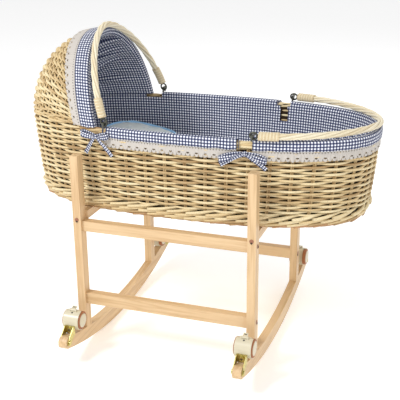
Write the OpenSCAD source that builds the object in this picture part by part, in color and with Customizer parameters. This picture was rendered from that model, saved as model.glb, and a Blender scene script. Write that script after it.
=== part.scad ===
// Moses basket of woven willow on a pine rocking stand with flip-up casters.
// Millimetres. X runs along the basket, head end at -X; -Y is the near side; Z = 0 is the floor.

/* [Stand frame] */
// Length over the posts, along the basket
stand_length = 408; // [360:1:480]
// Width over the posts, across the basket
stand_width = 408; // [390:1:470]
// Post section along the basket
post_x = 18; // [14:1:26]
// Post section across the basket
post_y = 24; // [18:1:32]
// Height of the post tops above the floor
post_top = 452; // [400:1:455]
// Thickness of the long rails, across the basket
rail_t = 18; // [12:1:22]
// Height of the upper rails
upper_rail_h = 23; // [18:1:32]
// Height of the lower rails
lower_rail_h = 26; // [18:1:36]
// Top of the upper rails above the floor
upper_rail_top = 305; // [250:1:320]
// Top of the lower rails above the floor
lower_rail_top = 134; // [115:1:180]
// Width of each cross board, along the basket
board_w = 24; // [20:1:34]
// Thickness of each cross board
board_t = 18; // [16:1:24]

/* [Rockers] */
// Half length of a rocker, middle to tip
rocker_half = 305; // [285:1:340]
// Thickness of a rocker, along the basket
rocker_t = 18; // [14:1:22]
// Radius of the curve that meets the floor
rocker_radius = 983; // [850:1:1250]
// Depth of a rocker at its middle
rocker_mid = 32; // [26:1:42]
// Radius of a rocker's rounded tip
tip_radius = 13; // [11:0.5:13]

/* [Casters] */
// Diameter of a caster wheel
wheel_d = 40; // [36:1:44]
// Width of one wheel's rim
wheel_w = 8; // [6:0.5:10]
// Width of the hood between the twin wheels
hood_w = 24; // [20:1:28]
// Sheet thickness of the fork
fork_t = 2; // [1.5:0.5:2.5]
// Height of the fork's bridge plate
bridge_h = 18; // [16:1:20]
// Distance from the pivot to the bridge plate
bridge_reach = 25; // [24:0.5:28]
// Diameter of the pivot bolts
pivot_d = 6; // [5:0.5:7]
// Diameter of the swivel stems
stem_d = 8; // [6:0.5:9]
// Diameter of the wheel axles
axle_d = 5; // [4:0.5:6]
// Distance from the stem's centre line to the axle
caster_trail = 14; // [12:0.5:16]
// Distance from the bridge plate to the axle
axle_drop = 22; // [20:0.5:24]

/* [Basket] */
// Half length of the basket at its rim
rim_a = 392; // [380:1:440]
// Half width of the basket at its rim
rim_b = 176; // [165:1:180]
// Half length of the basket at its foot
foot_a = 365; // [340:1:385]
// Half width of the basket at its foot
foot_b = 168; // [150:1:170]
// Depth of the basket, foot to rim
basket_h = 184; // [165:1:230]
// Thickness of the woven wall
wall_t = 10; // [7:0.5:12]
// Thickness of the woven base
base_t = 10; // [7:0.5:14]
// Shift of the basket's middle towards the foot of the stand
basket_shift = 19; // [8:1:24]
// Squareness of the oval, 2 is an ellipse
oval_power = 2.5; // [2:0.1:3]
// Height of the willow hood above the rim
hood_h = 178; // [150:1:200]
// Place of the hood's front edge at the rim, from the middle of the stand
hood_front = 168; // [150:1:200]
// Lean of the hood's front edge, back for each unit up
hood_lean = 0.2; // [0:0.05:0.3]

/* [Soft parts] */
// Thickness of the lining
lining_t = 2.5; // [2:0.5:4]
// Depth of the lining's fold outside the rim
fold_drop = 19; // [18:1:30]
// Depth of the lace below the fold
lace_drop = 21; // [14:1:24]
// Thickness of the lace
lace_t = 1.5; // [1:0.5:2]
// Thickness of the mattress
mattress_t = 58; // [35:1:60]
// Space round the mattress
mattress_gap = 4; // [2:0.5:8]
// Length of the pillow, along the basket
pillow_l = 180; // [150:1:190]
// Width of the pillow
pillow_w = 240; // [180:1:246]
// Thickness of the pillow
pillow_t = 52; // [20:1:54]

/* [Handles] */
// Diameter of a handle
handle_d = 14; // [10:1:16]
// Half width of a handle, pivot to pivot
handle_b = 171; // [168:1:174]
// Length of the head handle from its pivots
handle_head_l = 187; // [170:1:195]
// Length of the foot handle from its pivots
handle_foot_l = 224; // [212:1:228]
// Lean of the head handle, back from upright
handle_lean = 19; // [14:1:20]
// Place of the head handle's pivots, from the middle of the stand
handle_head_x = -135; // [-138:1:-120]
// Place of the foot handle's pivots, from the middle of the stand
handle_foot_x = 185; // [180:1:195]
// How far the middle of the head handle sways to the near side
handle_sway = 12; // [0:1:16]
// Length of the wrapped binding at each handle end
binding_l = 44; // [30:1:50]
// Diameter of the binding
binding_d = 17; // [15:1:19]

/* [Clearances] */
// Radial clearance of a turning fit
turn_clear = 0.05; // [0.02:0.01:0.1]
// Side clearance between parts that turn past each other
side_clear = 0.5; // [0.3:0.1:0.8]
// Clearance between soft parts and what they lie on
soft_clear = 0.5; // [0.3:0.1:1]

/* [Hidden] */

HEAD = -1;
FOOT = 1;
NEAR = -1;
FAR = 1;
ARC_FN = 720;
eps = 0.01;

pine = "#e3c291";
willow = "#c9a25e";
gingham = "#8391b0";
white = "#f4f1ea";
zinc = "#b59a4a";
cream = "#e9dfc8";
rust = "#8a4a26";

// Stand
post_cx = stand_length / 2 - post_x / 2;
post_cy = stand_width / 2 - post_y / 2;
rail_cy = stand_width / 2 - post_y + rail_t / 2;
rail_l = stand_length - 2 * post_x;
board_cx = stand_length / 2 - board_w / 2;
board_l = stand_width - 2 * post_y;
board_z = upper_rail_top;
basket_z = board_z + board_t;

// Rockers: a lower arc and an upper arc that both touch the round tip
tip_y = rocker_half - tip_radius;
tip_z = rocker_radius - sqrt(pow(rocker_radius - tip_radius, 2) - tip_y * tip_y);
tip_rise = tip_z - rocker_mid;
upper_radius = (tip_y * tip_y + tip_rise * tip_rise - tip_radius * tip_radius) / (2 * (tip_radius + tip_rise));
tip_angle = asin(tip_y / (rocker_radius - tip_radius));

// Frame bolts: head and shank
bolt_head_r = 4.5;
bolt_head_h = 4;
bolt_shank_r = 2.5;
bolt_proud = 0.8;
bolt_l = 45;
board_bolt_z = board_z + bolt_shank_r + 1.5;

// Casters, in the frame of the pivot: x outward, y towards the middle of the rocker, z up
fork_in = rocker_t / 2 + side_clear;
fork_out = fork_in + fork_t;
bridge_low = 8.5;
stem_z = bridge_low + bridge_h / 2;
nut_h = 3;
nut_r = 6;
stem_l = 15;
axle_y = bridge_reach + fork_t + axle_drop;
axle_z = stem_z + caster_trail;
boss_r = 7.5;
lip_t = 1.4;
lip_in = wheel_d / 2 + 0.6;
hood_r = lip_in + lip_t;
wheel_x = hood_w / 2 + side_clear;
axle_end = wheel_x + wheel_w - 1;
lip_x = wheel_x + wheel_w - 2.5;
brake_pin_r = 1.5;
brake_y = axle_y - 4;
brake_z = axle_z + hood_r + 2.5;
brake_w = 11;

// Basket
K = 72;
basket_top = basket_z + basket_h;
border_h = 9;
wall_top = basket_top - border_h;
fold_top = 3;
gap = 0.2;

// The origin is under the middle of the whole length, hood to foot handle
origin_x = (basket_shift - rim_a + handle_foot_x + handle_foot_l + handle_d / 2) / 2;

function signed_pow(v, e) = sign(v) * pow(abs(v), e);
// Half length and half width of the wall's outer face, h from 0 at the foot to 1 at the rim
function flare(h) = 0.4 * (1 - pow(1 - h, 8)) + 0.6 * h;
function rise(z) = max(0, min(1, (z - basket_z) / basket_h));
function half_l(z) = foot_a + (rim_a - foot_a) * flare(rise(z));
function half_w(z) = foot_b + (rim_b - foot_b) * flare(rise(z));
// A point on the oval at angle t, height z, d outside the wall's outer face
function on_oval(t, z, d) = [
    basket_shift + (half_l(z) + d) * signed_pow(cos(t), 2 / oval_power),
    (half_w(z) + d) * signed_pow(sin(t), 2 / oval_power),
    z
];
// Half width of the oval at place x
function oval_w(x, a, b) = b * pow(max(0, 1 - pow(min(1, abs(x - basket_shift) / a), oval_power)), 1 / oval_power);
// Angle at which the rim passes place x
function angle_at(x) = 180 - acos(pow(min(1, (basket_shift - x) / rim_a), oval_power / 2));

// Solid lofted through rings of points; closed joins the last ring to the first
module loft(rings, closed) {
    n = len(rings);
    m = len(rings[0]);
    last = closed ? n - 1 : n - 2;
    points = [for (r = rings) for (p = r) p];
    sides = [
        for (i = [0:last]) for (j = [0:m - 1])
            let (a = i * m + j, b = i * m + (j + 1) % m, c = ((i + 1) % n) * m + (j + 1) % m, d = ((i + 1) % n) * m + j)
            each [[a, b, c], [a, c, d]]
    ];
    z = (n - 1) * m;
    // A ring's first half runs along one face and its second half comes back along the other
    caps = closed ? [] : [
        for (j = [0:m / 2 - 2])
            let (a = j, b = j + 1, c = m - 2 - j, d = m - 1 - j)
            each [[a, c, b], [a, d, c], [z + a, z + b, z + c], [z + a, z + c, z + d]]
    ];
    polyhedron(points = points, faces = concat(sides, caps), convexity = 8);
}

// A band round the whole oval; the profile's points are [d, z]
module band(profile) {
    loft([for (i = [0:K - 1]) [for (p = profile) on_oval(-360 * i / K, p[1], p[0])]], true);
}

// A band round the open rim only, from the near side of the hood round the foot to the far side
module open_band(profile, x) {
    t_end = angle_at(x);
    steps = 48;
    loft([for (i = [0:steps]) [for (p = profile) on_oval(t_end - 2 * t_end * i / steps, p[1], p[0])]], false);
}

module from_origin() {
    translate([-origin_x, 0, 0]) children();
}

module flip(axis, on) {
    if (on) mirror(axis) children();
    else children();
}

module at_corner(sx, sy) {
    flip([1, 0, 0], sx < 0) flip([0, 1, 0], sy > 0) translate([post_cx, -tip_y, tip_z]) children();
}

module along_x(r, x0, x1, fn = 48) {
    translate([x0, 0, 0]) rotate([0, 90, 0]) cylinder(r = r, h = x1 - x0, $fn = fn);
}

module along_y(r, y0, y1, fn = 48) {
    translate([0, y0, 0]) rotate([-90, 0, 0]) cylinder(r = r, h = y1 - y0, $fn = fn);
}

// ---- Stand ----

module frame_bolt() {
    along_x(bolt_head_r, -bolt_head_h, bolt_proud);
    along_x(bolt_shank_r, -bolt_l, -bolt_head_h);
}

module frame_bolt_set() {
    for (sx = [HEAD, FOOT]) for (sy = [NEAR, FAR]) flip([1, 0, 0], sx < 0) flip([0, 1, 0], sy > 0) {
        for (z = [upper_rail_top - upper_rail_h / 2, lower_rail_top - lower_rail_h / 2])
            translate([stand_length / 2, -rail_cy, z]) frame_bolt();
        translate([post_cx, -stand_width / 2, board_bolt_z]) rotate([0, 0, -90]) frame_bolt();
    }
}

module post(sx, sy) {
    color(pine) difference() {
        intersection() {
            translate([sx * post_cx - post_x / 2, sy * post_cy - post_y / 2, 0]) cube([post_x, post_y, post_top]);
            translate([0, 0, rocker_mid + upper_radius]) along_x(upper_radius, -stand_length, stand_length, ARC_FN);
        }
        frame_bolt_set();
    }
}

// The rounded tip stands this far proud of the curve it ends, so that the two outlines cross
tip_proud = 0.3;

module rocker_outline() {
    difference() {
        union() {
            intersection() {
                difference() {
                    translate([0, rocker_radius]) circle(r = rocker_radius, $fn = ARC_FN);
                    translate([0, rocker_mid + upper_radius]) circle(r = upper_radius, $fn = ARC_FN);
                }
                polygon([
                    [0, rocker_radius],
                    [-2 * rocker_radius * sin(tip_angle), rocker_radius - 2 * rocker_radius * cos(tip_angle)],
                    [2 * rocker_radius * sin(tip_angle), rocker_radius - 2 * rocker_radius * cos(tip_angle)]
                ]);
            }
            for (s = [-1, 1]) translate([s * tip_y, tip_z]) circle(r = tip_radius + tip_proud, $fn = 64);
        }
        for (s = [-1, 1]) translate([s * tip_y, tip_z]) circle(r = pivot_d / 2, $fn = 48);
    }
}

module rocker(sx) {
    color(pine) translate([sx * post_cx - rocker_t / 2, 0, 0]) rotate([90, 0, 90])
        linear_extrude(height = rocker_t) rocker_outline();
}

module rail(sy, top, h) {
    color(pine) difference() {
        translate([-rail_l / 2, sy * rail_cy - rail_t / 2, top - h]) cube([rail_l, rail_t, h]);
        frame_bolt_set();
    }
}

module cross_board(sx) {
    color(pine) difference() {
        translate([sx * board_cx - board_w / 2, -board_l / 2, board_z]) cube([board_w, board_l, board_t]);
        frame_bolt_set();
    }
}

module frame_bolts() {
    color(zinc) frame_bolt_set();
}

module caster_pivots() {
    head_gap = 0.3;
    head_h = 1.8;
    color(zinc) for (sx = [HEAD, FOOT]) for (sy = [NEAR, FAR]) at_corner(sx, sy) {
        along_x(pivot_d / 2, -fork_out - head_gap, fork_out + head_gap);
        along_x(pivot_d / 2 + 2, fork_out + head_gap, fork_out + head_gap + head_h);
        along_x(pivot_d / 2 + 2, -fork_out - head_gap - head_h, -fork_out - head_gap);
    }
}

// ---- Casters ----

module fork_cheek() {
    k = boss_r / sqrt(2);
    top = bridge_low + bridge_h;
    linear_extrude(height = fork_t) difference() {
        union() {
            circle(r = boss_r, $fn = 48);
            polygon([[k, -k], [bridge_reach + fork_t, bridge_low], [bridge_reach + fork_t, top],
                [bridge_reach - 5, top], [-k, k]]);
        }
        circle(r = pivot_d / 2 + turn_clear, $fn = 48);
    }
}

module fork(sx, sy) {
    color(zinc) at_corner(sx, sy) difference() {
        union() {
            for (x = [-fork_out, fork_in]) translate([x, 0, 0]) rotate([90, 0, 90]) fork_cheek();
            translate([-fork_in - eps, bridge_reach, bridge_low])
                cube([2 * fork_in + 2 * eps, fork_t, bridge_h]);
        }
        translate([0, 0, stem_z]) along_y(stem_d / 2, 0, bridge_reach + 2 * fork_t);
    }
}

module stem(sx, sy) {
    color(zinc) at_corner(sx, sy) translate([0, 0, stem_z]) {
        along_y(nut_r, bridge_reach - nut_h, bridge_reach);
        along_y(stem_d / 2, bridge_reach, bridge_reach + fork_t + stem_l);
    }
}

module caster_hood(sx, sy) {
    face = bridge_reach + fork_t + side_clear;
    collar_r = 6.5;
    color(cream) at_corner(sx, sy) difference() {
        union() {
            intersection() {
                translate([0, axle_y, axle_z]) along_x(hood_r, -hood_w / 2, hood_w / 2, 96);
                translate([-hood_w, face, 0]) cube([2 * hood_w, axle_y - face + 6, 100]);
            }
            intersection() {
                translate([0, axle_y, axle_z]) difference() {
                    along_x(hood_r, -lip_x, lip_x, 96);
                    along_x(lip_in, -lip_x - 1, lip_x + 1, 96);
                }
                translate([-2 * hood_w, face, 0]) cube([4 * hood_w, axle_y - face, 100]);
            }
            translate([0, 0, stem_z]) along_y(collar_r, face, bridge_reach + fork_t + stem_l + 3);
            for (x = [-1, 1]) translate([x * (brake_w / 2 + side_clear + 1), brake_y, 0]) {
                translate([0, 0, brake_z]) along_x(2.6, -1, 1, 32);
                translate([-1, -2.6, axle_z + hood_r - 4]) cube([2, 5.2, 6.5]);
            }
        }
        translate([0, axle_y, axle_z]) along_x(axle_d / 2, -hood_w, hood_w);
        translate([0, 0, stem_z]) along_y(stem_d / 2 + turn_clear, 0, bridge_reach + fork_t + stem_l + side_clear);
        translate([0, brake_y, brake_z]) along_x(brake_pin_r + turn_clear, -hood_w, hood_w, 32);
    }
}

module axle(sx, sy) {
    color(zinc) at_corner(sx, sy) translate([0, axle_y, axle_z]) along_x(axle_d / 2, -axle_end, axle_end);
}

module wheel(sx, sy, side) {
    bevel = 1.2;
    r = wheel_d / 2;
    color(rust) at_corner(sx, sy) flip([1, 0, 0], side < 0) translate([wheel_x, axle_y, axle_z])
        rotate([0, 90, 0]) rotate_extrude($fn = 96) polygon([
            [axle_d / 2 + turn_clear, 0], [r - bevel, 0], [r, bevel], [r, wheel_w - bevel],
            [r - bevel, wheel_w], [axle_d / 2 + turn_clear, wheel_w]
        ]);
}

// The brake's tab: its width, length, thickness and how steeply it stands
tab_w = brake_w - 1;
tab_l = 11.6;
tab_t = 2.6;
tab_tilt = 12;

module brake(sx, sy) {
    color(cream) at_corner(sx, sy) translate([0, brake_y, brake_z]) {
        along_x(2.4, -brake_w / 2, brake_w / 2, 32);
        along_x(brake_pin_r, -brake_w / 2 - side_clear - 2, brake_w / 2 + side_clear + 2, 32);
        rotate([tab_tilt, 0, 0]) translate([-tab_w / 2, 0.4, -0.6]) cube([tab_w, tab_l, tab_t]);
    }
}

// ---- Basket ----

// A flat oval slab, d outside the wall's outer face at its own height
module oval_slab(z, h, d) {
    translate([0, 0, z]) linear_extrude(height = h)
        polygon([for (i = [0:K - 1]) let (p = on_oval(360 * i / K, z, d)) [p[0], p[1]]]);
}

module basket_base() {
    color(willow) oval_slab(basket_z, base_t, -wall_t - gap);
}

module basket_wall() {
    levels = [0, 0.06, 0.14, 0.3, 0.6, 1];
    zs = [for (l = levels) basket_z + (wall_top - basket_z) * l];
    outer = [for (z = zs) [0, z]];
    inner = [for (i = [len(zs) - 1:-1:0]) [-wall_t, zs[i]]];
    color(willow) band(concat(outer, inner));
}

module foot_border() {
    h = 15;
    w = 5;
    color(willow) band([[gap, basket_z], [w, basket_z], [w + 1, basket_z + h / 2], [w, basket_z + h],
        [gap, basket_z + h], [gap, basket_z + h / 2]]);
}

module rim_border() {
    color(willow) band([[0, wall_top], [0, basket_top - 1], [-wall_t / 2, basket_top], [-wall_t, basket_top - 1],
        [-wall_t, wall_top]]);
}

// Where the hood starts to fall away, and how far it is from there to the head end
hood_crest = -hood_front - hood_h * hood_lean;
hood_reach = rim_a - basket_shift + hood_crest;
hood_power = 2.2;
// Height of the hood over the rim at place x, d outside its outer face
function hood_up(x, d) = (hood_h + d) * sqrt(max(0, 1 - pow(max(0, hood_crest - x) / (hood_reach + d), 2)));
// A point of the hood: s from 0 at the front edge to 1 at the head end, f round it from side to side
function hood_at(s, f, d, skip) = let (
        arc = signed_pow(sin(f), 2 / hood_power),
        x_front = -hood_front - skip - hood_lean * hood_h * arc,
        x_back = basket_shift - rim_a - d,
        x = x_front + (x_back - x_front) * sin(90 * s)
    ) [
        x,
        oval_w(x, rim_a + d, rim_b + d) * signed_pow(cos(f), 2 / hood_power),
        basket_top + hood_up(x, d) * arc
    ];

// A shell between two offsets of the hood's surface, from the front edge to part s_end of the way back
module hood_band(d_out, d_in, skip_0, skip_1, full) {
    nf = 26;
    ns = full ? 14 : 4;
    loft([
        for (i = [0:ns]) [
            for (j = [0:nf]) full ? hood_at(0.975 * i / ns, 180 * j / nf, d_out, skip_0)
                : hood_at(0, 180 * j / nf, d_out, skip_0 + (skip_1 - skip_0) * i / ns),
            for (j = [nf:-1:0]) full ? hood_at(0.975 * i / ns, 180 * j / nf, d_in, skip_0)
                : hood_at(0, 180 * j / nf, d_in, skip_0 + (skip_1 - skip_0) * i / ns)
        ]
    ], false);
}

fold_t = lining_t;
hood_fold = 24;
hood_lace_w = 26;

module hood_shell() {
    color(willow) hood_band(0, -wall_t, 4, 0, true);
}

module basket_lining() {
    floor_z = basket_z + base_t + gap;
    out = -wall_t - gap;
    in = out - lining_t;
    low = basket_top - fold_drop;
    color(gingham) {
        open_band([
            [gap + fold_t, low], [gap + fold_t, basket_top + fold_top], [in, basket_top + fold_top],
            [in, basket_top - 6], [out, basket_top - 6], [out, basket_top + gap], [gap, basket_top + gap],
            [gap, low]
        ], -hood_front + 16);
        band([[in, floor_z], [out, floor_z], [out, basket_top - 6 - gap], [in, basket_top - 6 - gap]]);
    }
}

module rim_lace() {
    low = basket_top - fold_drop - lace_drop;
    high = basket_top - fold_drop - gap;
    color(white) open_band([[gap, low], [gap + lace_t, low], [gap + lace_t, high], [gap, high]], -hood_front + 16);
}

module hood_lining() {
    color(gingham) {
        hood_band(-wall_t - gap, -wall_t - gap - lining_t, 4, 0, true);
        hood_band(fold_t + gap, gap, 4, hood_fold, false);
    }
}

module hood_lace() {
    color(white) hood_band(gap + lace_t, gap, hood_fold + gap, hood_fold + hood_lace_w, false);
}

module bow() {
    knot = 10;
    hull() {
        for (s = [-1, 1]) translate([s * 17, 0, 0]) cube([8, 5, 14], center = true);
        cube([knot, 7, knot], center = true);
    }
}

bow_drop = 14;
bow_x = [-150, 170];

module bows() {
    color(gingham) for (x = bow_x) for (sy = [NEAR, FAR]) {
        z = basket_top - bow_drop;
        y = oval_w(x, half_l(z), half_w(z)) + fold_t + 5.5;
        translate([x, sy * y, z]) bow();
    }
}

mattress_z = basket_z + base_t + soft_clear;
mattress_d = -wall_t - lining_t - mattress_gap;

module mattress() {
    color(white) oval_slab(mattress_z, mattress_t, mattress_d);
}

pillow_z = mattress_z + mattress_t + soft_clear;
pillow_x = -148;
pillow_power = 2.8;

module pillow() {
    color(white) translate([pillow_x, 0, pillow_z]) linear_extrude(height = pillow_t) polygon([
        for (i = [0:K - 1]) let (t = 360 * i / K) [
            pillow_l / 2 * signed_pow(cos(t), 2 / pillow_power),
            pillow_w / 2 * signed_pow(sin(t), 2 / pillow_power)
        ]
    ]);
}

// ---- Handles ----

staple_r = 3;
handle_z = basket_top + 13;
arch_power = 1.75;
// A point on the arch at part u of the way round, in its own plane; its middle sways by skew to the near side
function arch(u, l, skew = 0) = [
    handle_b * signed_pow(cos(180 * u), 2 / arch_power) - skew * pow(sin(180 * u), 3),
    l * pow(sin(180 * u), 2 / arch_power)
];
// Part of the way round at which the arch is h from its pivots
function arch_start(h, l) = asin(pow(h / l, arch_power / 2)) / 180;

// The rod follows the arch between its bindings
module handle_rod(l, skew) {
    u0 = arch_start(binding_l - 6, l);
    steps = 40;
    sides = 12;
    loft([
        for (i = [0:steps])
            let (
                u = u0 + (1 - 2 * u0) * i / steps,
                p = arch(u, l, skew),
                q = arch(u + 0.002, l, skew) - arch(u - 0.002, l, skew),
                t = q / norm(q)
            )
            [for (k = [0:sides - 1]) let (a = 360 * k / sides, r = handle_d / 2)
                [r * sin(a), p[0] - r * cos(a) * t[1], p[1] + r * cos(a) * t[0]]]
    ], false);
}

// Wrapped ends, each with an eye that turns on its staple
module handle_ends(l) {
    eye_w = 7;
    p = arch(arch_start(binding_l, l), l);
    lean = atan((handle_b - p[0]) / binding_l);
    for (s = [-1, 1]) flip([0, 1, 0], s < 0) difference() {
        union() {
            translate([0, handle_b, 0]) rotate([lean, 0, 0]) translate([0, 0, 7])
                cylinder(d = binding_d, h = binding_l - 7, $fn = 40);
            translate([0, handle_b - eye_w / 2, 0]) along_y(staple_r + 3.2, 0, eye_w);
            translate([-3, handle_b - eye_w / 2, 0]) cube([6, eye_w, 8]);
        }
        translate([0, handle_b, 0]) along_y(staple_r + turn_clear, -binding_d, binding_d);
    }
}

module place_head() {
    translate([handle_head_x, 0, handle_z]) rotate([0, -handle_lean, 0]) children();
}

module place_foot() {
    translate([handle_foot_x, 0, handle_z]) rotate([0, 90, 0]) children();
}

module handle_head() {
    color(willow) place_head() handle_rod(handle_head_l, handle_sway);
}

module bindings_head() {
    color(willow) place_head() handle_ends(handle_head_l);
}

module handle_foot() {
    color(willow) place_foot() handle_rod(handle_foot_l, 0);
}

module bindings_foot() {
    color(willow) place_foot() handle_ends(handle_foot_l);
}

module handle_staples() {
    half = 9;
    leg_r = 2;
    color(zinc) for (x = [handle_head_x, handle_foot_x]) for (sy = [NEAR, FAR]) translate([x, sy * handle_b, 0]) {
        translate([0, 0, handle_z]) along_y(staple_r, -half, half);
        for (s = [-1, 1]) translate([0, s * (half - leg_r - 1), basket_top + fold_top + gap])
            cylinder(r = leg_r, h = handle_z - basket_top - fold_top - gap, $fn = 32);
    }
}

from_origin() post(HEAD, NEAR);  // post_near_head
from_origin() post(FOOT, NEAR);  // post_near_foot
from_origin() post(HEAD, FAR);  // post_far_head
from_origin() post(FOOT, FAR);  // post_far_foot
from_origin() rocker(HEAD);  // rocker_head
from_origin() rocker(FOOT);  // rocker_foot
from_origin() rail(NEAR, upper_rail_top, upper_rail_h);  // rail_upper_near
from_origin() rail(FAR, upper_rail_top, upper_rail_h);  // rail_upper_far
from_origin() rail(NEAR, lower_rail_top, lower_rail_h);  // rail_lower_near
from_origin() rail(FAR, lower_rail_top, lower_rail_h);  // rail_lower_far
from_origin() cross_board(HEAD);  // cross_board_head
from_origin() cross_board(FOOT);  // cross_board_foot
from_origin() frame_bolts();
from_origin() caster_pivots();
from_origin() fork(HEAD, NEAR);  // fork_near_head
from_origin() fork(FOOT, NEAR);  // fork_near_foot
from_origin() fork(HEAD, FAR);  // fork_far_head
from_origin() fork(FOOT, FAR);  // fork_far_foot
from_origin() stem(HEAD, NEAR);  // stem_near_head
from_origin() stem(FOOT, NEAR);  // stem_near_foot
from_origin() stem(HEAD, FAR);  // stem_far_head
from_origin() stem(FOOT, FAR);  // stem_far_foot
from_origin() caster_hood(HEAD, NEAR);  // caster_hood_near_head
from_origin() caster_hood(FOOT, NEAR);  // caster_hood_near_foot
from_origin() caster_hood(HEAD, FAR);  // caster_hood_far_head
from_origin() caster_hood(FOOT, FAR);  // caster_hood_far_foot
from_origin() axle(HEAD, NEAR);  // axle_near_head
from_origin() axle(FOOT, NEAR);  // axle_near_foot
from_origin() axle(HEAD, FAR);  // axle_far_head
from_origin() axle(FOOT, FAR);  // axle_far_foot
from_origin() wheel(HEAD, NEAR, -1);  // wheel_in_near_head
from_origin() wheel(FOOT, NEAR, -1);  // wheel_in_near_foot
from_origin() wheel(HEAD, FAR, -1);  // wheel_in_far_head
from_origin() wheel(FOOT, FAR, -1);  // wheel_in_far_foot
from_origin() wheel(HEAD, NEAR, 1);  // wheel_out_near_head
from_origin() wheel(FOOT, NEAR, 1);  // wheel_out_near_foot
from_origin() wheel(HEAD, FAR, 1);  // wheel_out_far_head
from_origin() wheel(FOOT, FAR, 1);  // wheel_out_far_foot
from_origin() brake(HEAD, NEAR);  // brake_near_head
from_origin() brake(FOOT, NEAR);  // brake_near_foot
from_origin() brake(HEAD, FAR);  // brake_far_head
from_origin() brake(FOOT, FAR);  // brake_far_foot
from_origin() basket_base();
from_origin() basket_wall();
from_origin() foot_border();
from_origin() rim_border();
from_origin() hood_shell();
from_origin() basket_lining();
from_origin() rim_lace();
from_origin() hood_lining();
from_origin() hood_lace();
from_origin() bows();
from_origin() mattress();
from_origin() pillow();
from_origin() handle_head();
from_origin() bindings_head();
from_origin() handle_foot();
from_origin() bindings_foot();
from_origin() handle_staples();
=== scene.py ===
import math

import bpy
import numpy as np
from mathutils import Matrix, Vector


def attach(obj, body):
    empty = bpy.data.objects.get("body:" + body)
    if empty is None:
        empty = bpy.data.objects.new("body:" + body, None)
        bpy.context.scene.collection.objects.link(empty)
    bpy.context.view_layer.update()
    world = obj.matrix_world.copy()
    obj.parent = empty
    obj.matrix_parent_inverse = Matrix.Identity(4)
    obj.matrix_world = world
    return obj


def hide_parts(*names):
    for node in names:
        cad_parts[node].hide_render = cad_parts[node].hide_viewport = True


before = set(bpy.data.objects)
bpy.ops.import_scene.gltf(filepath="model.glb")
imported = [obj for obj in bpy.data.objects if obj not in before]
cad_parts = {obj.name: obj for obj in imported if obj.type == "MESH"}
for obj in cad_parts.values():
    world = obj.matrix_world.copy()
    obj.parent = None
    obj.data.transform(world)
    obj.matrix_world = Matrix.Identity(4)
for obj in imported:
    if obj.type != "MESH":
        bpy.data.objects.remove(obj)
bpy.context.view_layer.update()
rng = np.random.default_rng(11)

# Sizes in millimetres, from the middle of the stand; the frame's origin is SHIFT further along X
SHIFT = 21.5
RIM_A, RIM_B, FOOT_A, FOOT_B = 392.0, 176.0, 365.0, 168.0  # half sizes of the basket's rim and foot
TOP, BASE, CX, POW = 507.0, 323.0, 19.0, 2.5  # heights of rim and foot, middle along X, squareness
STAKES = 42  # pairs of stakes round the wall
HEAD_NOTCH, FOOT_NOTCH = (-172, -134), (152, 184)  # the rim's bare stretches at the handles, along X
WEAVE_D = -5.0  # middle of the weave, inwards from its face
ROPE_Z, ROPE_END = 500.4, -193  # the rim's rope, which stops under the hood
FOLD_Z, LACE_Z, LACE_DROP = 489.0, 490.5, 23.0  # where the lining's fold ends, and the lace below it
HOOD_H, HOOD_FRONT, HOOD_LEAN, HOOD_POW = 178.0, 168.0, 0.2, 2.2  # the front edge leans towards the head
FAN_X, FAN_Z = -112.0, -10.0  # where the hood's rods fan out from, Z above TOP
RIBS, RIB_SPREAD = 24, 0.35
PITCH, FIRST_ROW, ROWS = 5.75, 351.0, 26  # the wall's courses of weaving
CHECK = 0.00635  # the gingham's repeat, in metres
HANDLE_B, HANDLE_Z, HANDLE_POW = 171.0, 520.0, 1.75  # half width, height of the pivots, squareness
POST_X, CASTER_Y, CASTER_Z, PIVOT_Z = 195.0, 243.0, 89.494, 75.494
WHEEL_FACE = 20.5  # the wheels' outer faces, from the middle of their caster


# ---- Shape functions ----
def spow(v, e):
    """A power that keeps the sign."""
    return np.sign(v) * np.abs(v) ** e


def halves(z, d):
    """Half length and half width of the basket at height z, d outside its face."""
    h = np.clip((z - BASE) / (TOP - BASE), 0, 1)
    f = 0.4 * (1 - (1 - h) ** 8) + 0.6 * h
    return FOOT_A + (RIM_A - FOOT_A) * f + d, FOOT_B + (RIM_B - FOOT_B) * f + d


def oval(t, z, d):
    """Places on the basket at angle t and height z, d outside its face."""
    a, b = halves(z, d)
    x = CX + a * spow(np.cos(t), 2 / POW)
    y = b * spow(np.sin(t), 2 / POW)
    return np.stack(np.broadcast_arrays(x, y, z), -1).astype(float)


def oval_w(x, a, b):
    """Half width at place x of an oval with half sizes a and b."""
    return b * np.maximum(0, 1 - np.minimum(1, np.abs(x - CX) / a) ** POW) ** (1 / POW)


ring_t = np.linspace(0, 2 * math.pi, 14401)
ring_p = oval(ring_t, np.full_like(ring_t, 420.0), WEAVE_D)
ring_len = np.concatenate([[0], np.cumsum(np.linalg.norm(np.diff(ring_p, axis=0), axis=1))])
PERIM = ring_len[-1]


def turn(s):
    """Angle on the oval at share s of the way round."""
    return np.interp(np.mod(s, 1.0) * PERIM, ring_len, ring_t)


def share_at(x, far):
    """Share of the way round at which the rim passes place x, on the far or near side."""
    k = np.arange(len(ring_t) // 2) if far else np.arange(len(ring_t) // 2, len(ring_t))
    return ring_len[k[np.argmin(np.abs(ring_p[k, 0] - x))]] / PERIM


def smooth_noise(n, count, amp, wraps=True):
    """A smooth wavy line of n values with about count bumps."""
    x = np.linspace(0, 2 * math.pi, n, endpoint=not wraps)
    out = np.zeros(n)
    for k in range(max(1, count // 3), count + 1):
        out += np.sin(k * x + rng.uniform(0, 6.28)) / math.sqrt(count)
    return out * amp


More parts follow.
